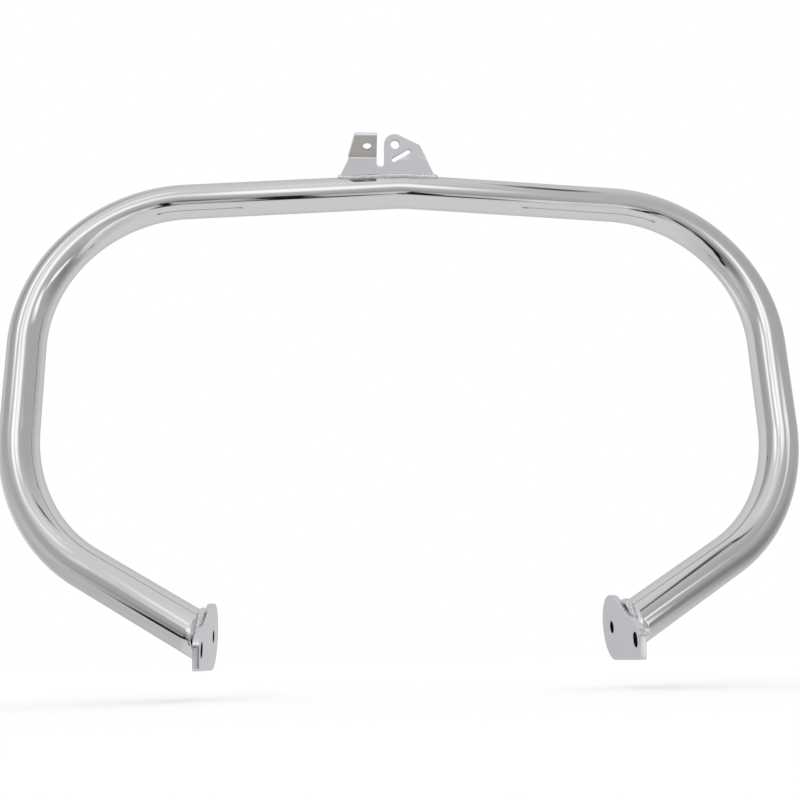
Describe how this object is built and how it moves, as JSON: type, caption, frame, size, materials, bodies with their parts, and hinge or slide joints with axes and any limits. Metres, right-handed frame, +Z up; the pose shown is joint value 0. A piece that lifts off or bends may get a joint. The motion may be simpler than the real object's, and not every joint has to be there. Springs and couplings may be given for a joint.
{
  "type": "motorcycle crash bar",
  "caption": "Bent tubular crash bar for a motorcycle, with a slotted mounting bracket at its crown and a drilled and slotted end plate on each leg, in chromed steel.",
  "frame": {"origin": "centre of the bolt hole in the flat ear of the top bracket, at half the thickness of the ear", "axes": "+X to the right across the motorcycle, along the longest extent; +Y to the rear, along the shortest extent; +Z up in the plane of the loop"},
  "size_m": [0.683, 0.0889, 0.4642],
  "materials": {
    "chromed_steel": "bright chrome plate over steel, polished on the tube, smooth on the plates and the bracket",
    "chromed_weld": "chrome plate over rippled weld beads, duller in the hollows"
  },
  "bodies": {
    "root": {"bent_tube": "chromed_steel", "top_bracket": "chromed_steel", "left_end_plate": "chromed_steel", "right_end_plate": "chromed_steel", "top_bracket_weld": "chromed_weld", "left_end_weld": "chromed_weld", "right_end_weld": "chromed_weld"}
  },
  "joints": []
}
